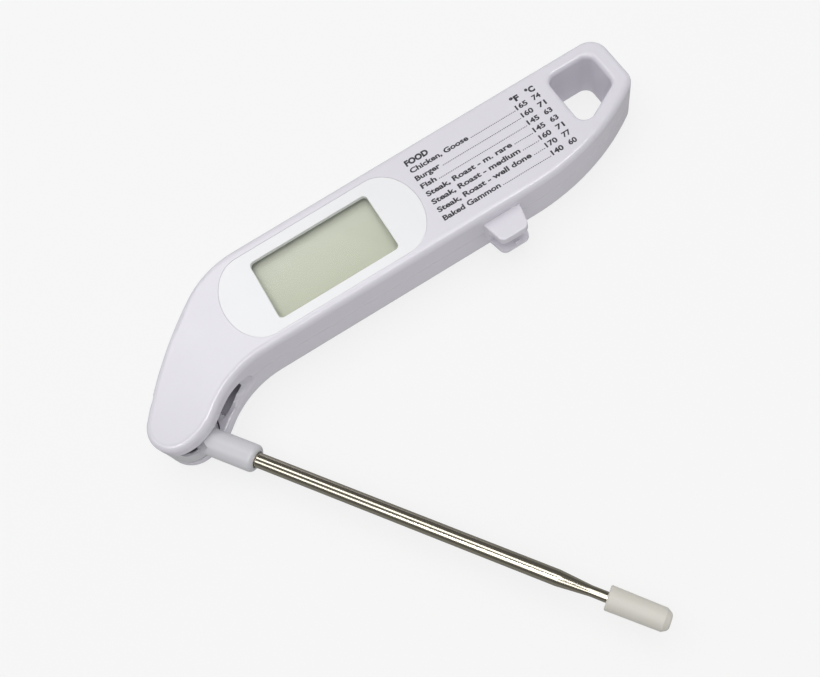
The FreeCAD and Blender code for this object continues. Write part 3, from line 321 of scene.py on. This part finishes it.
def solder_mask():
    """Green lacquer over copper tracks, which show as paler, slightly raised lines."""
    shader = Shader("board_solder_mask")
    place = shader.place()
    tracks = shader.node("ShaderNodeTexBrick")
    tracks.inputs["Scale"].default_value = TRACK_SCALE
    tracks.inputs["Mortar Size"].default_value = TRACK_WIDTH
    shader.link(place, tracks.inputs["Vector"])
    skin = shader.group(MOULDED_SKIN, place, Tint=colour(0.015, 0.12, 0.045),
                        Shade=colour(0.01, 0.09, 0.035), Gloss=0.3)
    over_copper = colour(0.05, 0.26, 0.09)
    lacquer = blend_colour(shader.tree, tracks.outputs["Fac"], skin.outputs["Color"], over_copper)
    shader.feed("Base Color", lacquer)
    shader.feed("Roughness", skin.outputs["Roughness"])
    shader.bump(tracks.outputs["Fac"], 0.4, TRACK_HEIGHT)
    return shader.material


def probe_steel():
    """Drawn stainless tube, nearly smooth, with very faint streaks."""
    return metal("probe_stainless", colour(0.62, 0.58, 0.47), colour(0.58, 0.54, 0.44), 0.17, 0.02,
                 turn=-PROBE_TURN, stretch=(0.01, 1.0, 1.0), scale=1200.0, relief=0.005)


# Each moulded finish: tint, shade, gloss, then any other setting.
PLASTICS = {
    "cover_plastic": (colour(0.755, 0.735, 0.795), colour(0.725, 0.702, 0.765), 0.22, {}),
    "bezel_plastic": (colour(0.85, 0.855, 0.87), colour(0.825, 0.83, 0.845), 0.3, {}),
    "lcd_cell": (colour(0.33, 0.36, 0.29), colour(0.28, 0.31, 0.25), 0.12, {"grain": 0.02}),
    "reflector_film": (colour(0.42, 0.44, 0.36), colour(0.38, 0.4, 0.33), 0.38, {"grain": 0.2}),
    "holder_plastic": (colour(0.68, 0.68, 0.68), colour(0.63, 0.63, 0.63), 0.48, {}),
    "black_rubber": (colour(0.02, 0.02, 0.022), colour(0.035, 0.035, 0.037), 0.72, {"grain": 0.3}),
    "black_epoxy": (colour(0.012, 0.012, 0.014), colour(0.02, 0.02, 0.022), 0.3, {"grain": 0.05}),
    "ceramic_parts": (colour(0.3, 0.2, 0.12), colour(0.07, 0.06, 0.055), 0.5, {"mottle": 700.0}),
    "switch_plastic": (colour(0.03, 0.03, 0.034), colour(0.045, 0.045, 0.05), 0.5, {"grain": 0.25}),
    "stem_plastic": (colour(0.1, 0.1, 0.11), colour(0.13, 0.13, 0.14), 0.52, {"grain": 0.25}),
    "door_plastic": (colour(0.75, 0.74, 0.795), colour(0.715, 0.705, 0.76), 0.42, {"grain": 0.18}),
    "button_plastic": (colour(0.3, 0.3, 0.33), colour(0.26, 0.26, 0.29), 0.46, {"grain": 0.2}),
    "hub_plastic": (colour(0.64, 0.64, 0.67), colour(0.60, 0.60, 0.63), 0.4, {}),
    "sensor_ceramic": (colour(0.12, 0.1, 0.09), colour(0.07, 0.06, 0.055), 0.6, {"mottle": 900.0}),
    "lead_insulation": (colour(0.5, 0.03, 0.02), colour(0.4, 0.02, 0.015), 0.5, {"mottle": 400.0}),
    "cap_plastic": (colour(0.66, 0.645, 0.58), colour(0.62, 0.60, 0.54), 0.52, {"grain": 0.15}),
}

# Each metal finish: tint, shade, gloss.
METALS = {
    "cell_steel": (colour(0.7, 0.7, 0.67), colour(0.58, 0.58, 0.55), 0.26),
    "contact_metal": (colour(0.72, 0.66, 0.52), colour(0.6, 0.54, 0.42), 0.3),
    "screw_steel": (colour(0.56, 0.57, 0.6), colour(0.44, 0.45, 0.47), 0.34),
    "magnet_metal": (colour(0.66, 0.66, 0.68), colour(0.56, 0.56, 0.58), 0.16),
}

SPECIAL = {
    "clear_plastic": clear_plastic,
    "lcd_film": lcd_film,
    "reed_glass": reed_glass,
    "elastomer": striped_elastomer,
    "board_laminate": solder_mask,
    "probe_steel": probe_steel,
}


def finish_for(slot):
    """The finish that belongs to one of the record's material slots."""
    if slot in SPECIAL:
        return SPECIAL[slot]()
    if slot in METALS:
        return metal(slot, *METALS[slot])
    tint, shade, gloss, more = PLASTICS[slot]
    return moulded(slot, tint, shade, gloss, **more)


def dress_nodes():
    """Give every carried-over piece the finish of its slot; pieces of one slot share one material."""
    made = {}
    for piece in NODES.values():
        slot = piece.data.materials[0].name
        if slot not in made:
            made[slot] = finish_for(slot)
        piece.data.materials[0] = made[slot]


dress_nodes()


# ---------------------------------------------------------------- printed chart

CHART_LEFT = BEZEL_HIGH.x + 2.2 * MM
FAHRENHEIT_LEFT = CHART_LEFT + 34.8 * MM
FAHRENHEIT_WIDTH = 3.7 * MM
CELSIUS_LEFT = CHART_LEFT + 40.3 * MM
CELSIUS_WIDTH = 2.5 * MM
CELSIUS_UNIT_LEFT = CELSIUS_LEFT - 0.4 * MM
UNIT_WIDTH = 2.8 * MM
LEADER_END = FAHRENHEIT_LEFT - 0.7 * MM
LEADER_GAP = 0.9 * MM
FIRST_ROW = 28.35 * MM
ROW_PITCH = 3.01 * MM
HEADER_ROW = FIRST_ROW + 2.85 * MM
CAPITAL = 1.62 * MM
HEADER_CAPITAL = 1.85 * MM
DASH_PITCH = 0.55 * MM
DASH_LENGTH = 0.32 * MM
DASH_WIDTH = 0.25 * MM
INK_LIFT = 0.006 * MM
INK_THICKNESS = 0.006 * MM
STROKE_GAIN = 0.036
HEADER_GAIN = 0.055
MARK_CAPITAL = 1.4 * MM
MARK_OVERHANG = 0.6 * MM
MARK_GAP = 2.0 * MM
CURVE_STEPS = 3

# Each row: what it says, how wide that is in millimetres, and its two temperatures.
CHART = [
    ("Chicken, Goose", 18.8, 165, 74),
    ("Burger", 7.8, 160, 71),
    ("Fish", 4.8, 145, 63),
    ("Steak, Roast - m. rare", 27.5, 145, 63),
    ("Steak, Roast - medium", 28.3, 160, 71),
    ("Steak, Roast - well done", 30.0, 170, 77),
    ("Baked Gammon", 18.1, 140, 60),
]


def lettering(words, gain):
    """Lettering of unit size as a mesh one unit thick, its strokes widened by the gain."""
    curve = bpy.data.curves.new("lettering", "FONT")
    curve.body = words
    curve.offset = gain
    curve.extrude = 0.5
    curve.resolution_u = CURVE_STEPS
    holder = bpy.data.objects.new("lettering", curve)
    bpy.context.scene.collection.objects.link(holder)
    graph = bpy.context.evaluated_depsgraph_get()
    mesh = bpy.data.meshes.new_from_object(holder.evaluated_get(graph))
    bpy.data.objects.remove(holder)
    bpy.data.curves.remove(curve)
    return mesh


def spread(mesh, axis):
    """The lowest and highest of a mesh's coordinates along one axis."""
    reach = [vertex.co[axis] for vertex in mesh.vertices]
    return min(reach), max(reach)


CAPITAL_SHARE = spread(lettering("H", STROKE_GAIN), 1)[1]


def printed(sheet, words, left, middle, capital, width=None, gain=STROKE_GAIN,
            level=FACE_LEVEL + INK_LIFT, side=1):
    """Add lettering to a sheet of ink; side is -1 for print that faces down."""
    mesh = lettering(words, gain)
    low, high = spread(mesh, 0)
    size = capital / CAPITAL_SHARE
    stretch = size if width is None else width / (high - low)
    base = middle - capital / 2
    for vertex in mesh.vertices:
        x, y, z = vertex.co
        height = level + (z + 0.5) * INK_THICKNESS
        vertex.co = (left + side * (x - low) * stretch, base + y * size, height)
    sheet.from_mesh(mesh)
    bpy.data.meshes.remove(mesh)


def piece_from(name, mesh, material, body):
    """A piece of printed ink that rides on a body."""
    mesh.name = name
    mesh.materials.clear()
    mesh.materials.append(material)
    piece = bpy.data.objects.new(name, mesh)
    bpy.context.scene.collection.objects.link(piece)
    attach(piece, body)
    return piece


def sheet_mesh(sheet):
    """The ink as a plain mesh, its faces pointing outwards."""
    bmesh.ops.recalc_face_normals(sheet, faces=sheet.faces)
    mesh = bpy.data.meshes.new("ink_sheet")
    sheet.to_mesh(mesh)
    sheet.free()
    return mesh


def leader_tree():
    """Dashes along every edge: a pitch, a dash's size and its ink are the named inputs."""
    tree = bpy.data.node_groups.new("leader_dashes", "GeometryNodeTree")
    tree.interface.new_socket("Geometry", in_out="INPUT", socket_type="NodeSocketGeometry")
    for label in ("Pitch", "Dash Length", "Dash Width", "Dash Height"):
        tree.interface.new_socket(label, in_out="INPUT", socket_type="NodeSocketFloat")
    tree.interface.new_socket("Ink", in_out="INPUT", socket_type="NodeSocketMaterial")
    tree.interface.new_socket("Geometry", in_out="OUTPUT", socket_type="NodeSocketGeometry")
    given = tree.nodes.new("NodeGroupInput").outputs
    paths = tree.nodes.new("GeometryNodeMeshToCurve")
    steps = tree.nodes.new("GeometryNodeResampleCurve")
    steps.mode = "LENGTH"
    size = tree.nodes.new("ShaderNodeCombineXYZ")
    dash = tree.nodes.new("GeometryNodeMeshCube")
    placed = tree.nodes.new("GeometryNodeInstanceOnPoints")
    real = tree.nodes.new("GeometryNodeRealizeInstances")
    inked = tree.nodes.new("GeometryNodeSetMaterial")
    made = tree.nodes.new("NodeGroupOutput").inputs
    for source, target in (
            (given["Geometry"], paths.inputs["Mesh"]),
            (paths.outputs["Curve"], steps.inputs["Curve"]),
            (given["Pitch"], steps.inputs["Length"]),
            (given["Dash Length"], size.inputs["X"]),
            (given["Dash Width"], size.inputs["Y"]),
            (given["Dash Height"], size.inputs["Z"]),
            (size.outputs["Vector"], dash.inputs["Size"]),
            (steps.outputs["Curve"], placed.inputs["Points"]),
            (dash.outputs["Mesh"], placed.inputs["Instance"]),
            (placed.outputs["Instances"], real.inputs["Geometry"]),
            (real.outputs["Geometry"], inked.inputs["Geometry"]),
            (given["Ink"], inked.inputs["Material"]),
            (inked.outputs["Geometry"], made["Geometry"])):
        tree.links.new(source, target)
    return tree


def set_inputs(modifier, **values):
    """Set a tree's named inputs by their sockets' identifiers."""
    for item in modifier.node_group.interface.items_tree:
        key = item.name.replace(" ", "_")
        if item.in_out == "INPUT" and key in values:
            modifier[item.identifier] = values[key]


def chart_leaders(ink):
    """The dashes that lead from each label to its temperatures."""
    level = FACE_LEVEL + INK_LIFT + INK_THICKNESS / 2
    corners = []
    for row, (_, width, _, _) in enumerate(CHART):
        height = FIRST_ROW - row * ROW_PITCH - CAPITAL / 2 + DASH_WIDTH / 2
        corners += [(CHART_LEFT + width * MM + LEADER_GAP, height, level), (LEADER_END, height, level)]
    edges = [(2 * row, 2 * row + 1) for row in range(len(CHART))]
    mesh = bpy.data.meshes.new("leader_paths")
    mesh.from_pydata(corners, edges, [])
    holder = bpy.data.objects.new("leader_paths", mesh)
    bpy.context.scene.collection.objects.link(holder)
    modifier = holder.modifiers.new("leader_dashes", "NODES")
    modifier.node_group = leader_tree()
    set_inputs(modifier, Pitch=DASH_PITCH, Dash_Length=DASH_LENGTH, Dash_Width=DASH_WIDTH,
               Dash_Height=INK_THICKNESS, Ink=ink)
    graph = bpy.context.evaluated_depsgraph_get()
    dashes = bpy.data.meshes.new_from_object(holder.evaluated_get(graph))
    holder.modifiers.remove(modifier)
    bpy.data.objects.remove(holder)
    piece_from("chart_leaders", dashes, ink, "handle")


def chart_lettering(ink):
    """The heading, the unit signs, the labels and both columns of temperatures."""
    sheet = bmesh.new()
    printed(sheet, "FOOD", CHART_LEFT, HEADER_ROW, HEADER_CAPITAL, gain=HEADER_GAIN)
    printed(sheet, "°F", FAHRENHEIT_LEFT, HEADER_ROW, HEADER_CAPITAL, UNIT_WIDTH, HEADER_GAIN)
    printed(sheet, "°C", CELSIUS_UNIT_LEFT, HEADER_ROW, HEADER_CAPITAL, UNIT_WIDTH, HEADER_GAIN)
    for row, (label, width, fahrenheit, celsius) in enumerate(CHART):
        middle = FIRST_ROW - row * ROW_PITCH
        printed(sheet, label, CHART_LEFT, middle, CAPITAL, width * MM)
        printed(sheet, str(fahrenheit), FAHRENHEIT_LEFT, middle, CAPITAL, FAHRENHEIT_WIDTH)
        printed(sheet, str(celsius), CELSIUS_LEFT, middle, CAPITAL, CELSIUS_WIDTH)
    piece_from("chart_lettering", sheet_mesh(sheet), ink, "handle")


def unit_marks(ink):
    """The mark over the unit button, on the back."""
    low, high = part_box("unit_button")
    sheet = bmesh.new()
    width = high.x - low.x + 2 * MARK_OVERHANG
    printed(sheet, "°C / °F", high.x + MARK_OVERHANG, high.y + MARK_GAP, MARK_CAPITAL, width,
            level=-INK_LIFT - INK_THICKNESS, side=-1)
    piece_from("unit_marks", sheet_mesh(sheet), ink, "handle")


INK = moulded("printed_ink", colour(0.017, 0.017, 0.02), colour(0.04, 0.04, 0.045), 0.45, grain=0.2,
              mottle=1500.0)
chart_lettering(INK)
chart_leaders(INK)
unit_marks(INK)


# ---------------------------------------------------------------- studio

WHITE = (1.0, 1.0, 1.0, 1.0)

# How strong the surroundings and the floor are: as seen, as light on surfaces, and as mirrored.
WORLD_STRENGTHS = (0.9, 0.52, 0.12)
FLOOR_STRENGTHS = (0.762, 0.56, 0.1)
FLOOR_REACH = 3.0
FLOOR_DROP = 0.05 * MM

OVERHEAD_PLACE = (0.05, 0.15, 0.9)
OVERHEAD_SIZE = (1.2, 1.2)
OVERHEAD_POWER = 5.8
STRIP_LEANS = {"strip_low": -39.0, "strip_high": 17.0}
STRIP_WIDTH = 0.26
STRIP_LENGTH = 1.6
STRIP_POWER = 3.4
STRIP_DISTANCE = 0.8
STRIP_SHIFT = -0.15
RIM_SIZE = (1.0, 0.06)
RIM_POWER = 3.0
RIM_ACROSS = -0.2
RIM_HEIGHT = 0.66

EYE = Vector((51.2, -108.1, 237.7)) * MM
VIEW_RIGHT = Vector((0.8522, -0.4981, -0.1601))
VIEW_FORWARD = Vector((0.0545, 0.3889, -0.9197))
SENSOR_WIDTH = 36.0
FOCAL_LENGTH = 40.64
NEAREST = 0.01


def facing(right, up, back, place):
    """The matrix of a camera or lamp that has these axes and stands at a place."""
    return Matrix((
        (right.x, up.x, back.x, place.x),
        (right.y, up.y, back.y, place.y),
        (right.z, up.z, back.z, place.z),
        (0, 0, 0, 1)))


def point_at(thing, place, target):
    direction = Vector(target) - Vector(place)
    turned = direction.to_track_quat("-Z", "Y").to_matrix().to_4x4()
    thing.matrix_world = Matrix.Translation(place) @ turned


def softbox(name, place, target, size, power, mirrored):
    """A rectangular lamp that surfaces either mirror or are lit by, so that each can be set alone."""
    lamp = bpy.data.lights.new(name, "AREA")
    lamp.shape = "RECTANGLE"
    lamp.size, lamp.size_y = size
    lamp.energy = power
    thing = bpy.data.objects.new(name, lamp)
    bpy.context.scene.collection.objects.link(thing)
    point_at(thing, place, target)
    thing.visible_glossy = mirrored
    thing.visible_diffuse = not mirrored
    return thing


def light_split(tree, seen, bounced, mirrored):
    """Three strengths: what is seen directly, what lights surfaces, and what they mirror."""
    rays = tree.nodes.new("ShaderNodeLightPath")
    indirect = tree.nodes.new("ShaderNodeMapRange")
    indirect.inputs["To Min"].default_value = bounced
    indirect.inputs["To Max"].default_value = mirrored
    tree.links.new(rays.outputs["Is Glossy Ray"], indirect.inputs["Value"])
    share = tree.nodes.new("ShaderNodeMapRange")
    share.inputs["To Max"].default_value = seen
    tree.links.new(rays.outputs["Is Camera Ray"], share.inputs["Value"])
    tree.links.new(indirect.outputs["Result"], share.inputs["To Min"])
    return share.outputs["Result"]


def floor():
    """A wide pale sheet that keeps most of its own light, so that shadows on it stay faint."""
    corners = [(x * FLOOR_REACH, y * FLOOR_REACH, 0) for x, y in ((-1, -1), (1, -1), (1, 1), (-1, 1))]
    mesh = bpy.data.meshes.new("floor")
    mesh.from_pydata(corners, [], [(0, 1, 2, 3)])
    sheet = bpy.data.objects.new("floor", mesh)
    sheet.location.z = -FLOOR_DROP
    bpy.context.scene.collection.objects.link(sheet)
    shader = Shader("floor_pale")
    shader.set(Base_Color=colour(0.17, 0.17, 0.17), Roughness=0.9, Emission_Color=WHITE,
               Specular_IOR_Level=0.0)
    shader.feed("Emission Strength", light_split(shader.tree, *FLOOR_STRENGTHS))
    mesh.materials.append(shader.material)


def strip_over_probe(name, lean):
    """A long lamp parallel to the probe, leaning about its axis by so many degrees from upright."""
    across = Vector((-PROBE_WAY.y, PROBE_WAY.x, 0.0))
    turn = math.radians(lean)
    middle = PIVOT + PROBE_WAY * STRIP_SHIFT
    place = middle + (across * math.sin(turn) + Vector((0, 0, 1)) * math.cos(turn)) * STRIP_DISTANCE
    thing = softbox(name, place, middle, (STRIP_WIDTH, STRIP_LENGTH), STRIP_POWER, True)
    back = (place - middle).normalized()
    thing.matrix_world = facing(PROBE_WAY.cross(back), PROBE_WAY, back, place)


def studio_lights():
    """A broad soft light above, two strips that draw lines on the steel, and one that draws the rims."""
    middle = (COVER_LOW + COVER_HIGH) / 2
    softbox("overhead", OVERHEAD_PLACE, middle, OVERHEAD_SIZE, OVERHEAD_POWER, False)
    for name, lean in STRIP_LEANS.items():
        strip_over_probe(name, lean)
    softbox("rim_strip", (middle.x, RIM_ACROSS, RIM_HEIGHT), middle, RIM_SIZE, RIM_POWER, True)


def world():
    """Soft white surroundings that polished metal mirrors as a darker room."""
    studio = bpy.data.worlds.new("studio")
    bpy.context.scene.world = studio
    studio.use_nodes = True
    tree = studio.node_tree
    background = tree.nodes["Background"]
    tree.links.new(light_split(tree, *WORLD_STRENGTHS), background.inputs["Strength"])
    background.inputs["Color"].default_value = WHITE


def camera():
    """Looks down on the display from beyond the folded probe's side."""
    forward = VIEW_FORWARD.normalized()
    leaning = VIEW_RIGHT.normalized()
    right = (leaning - forward * leaning.dot(forward)).normalized()
    view = bpy.data.cameras.new("camera")
    view.sensor_width = SENSOR_WIDTH
    view.lens = FOCAL_LENGTH
    view.clip_start = NEAREST
    thing = bpy.data.objects.new("camera", view)
    bpy.context.scene.collection.objects.link(thing)
    thing.matrix_world = facing(right, right.cross(forward), -forward, EYE)
    bpy.context.scene.camera = thing


camera()
world()
floor()
studio_lights()
bpy.context.scene.view_settings.view_transform = "Standard"
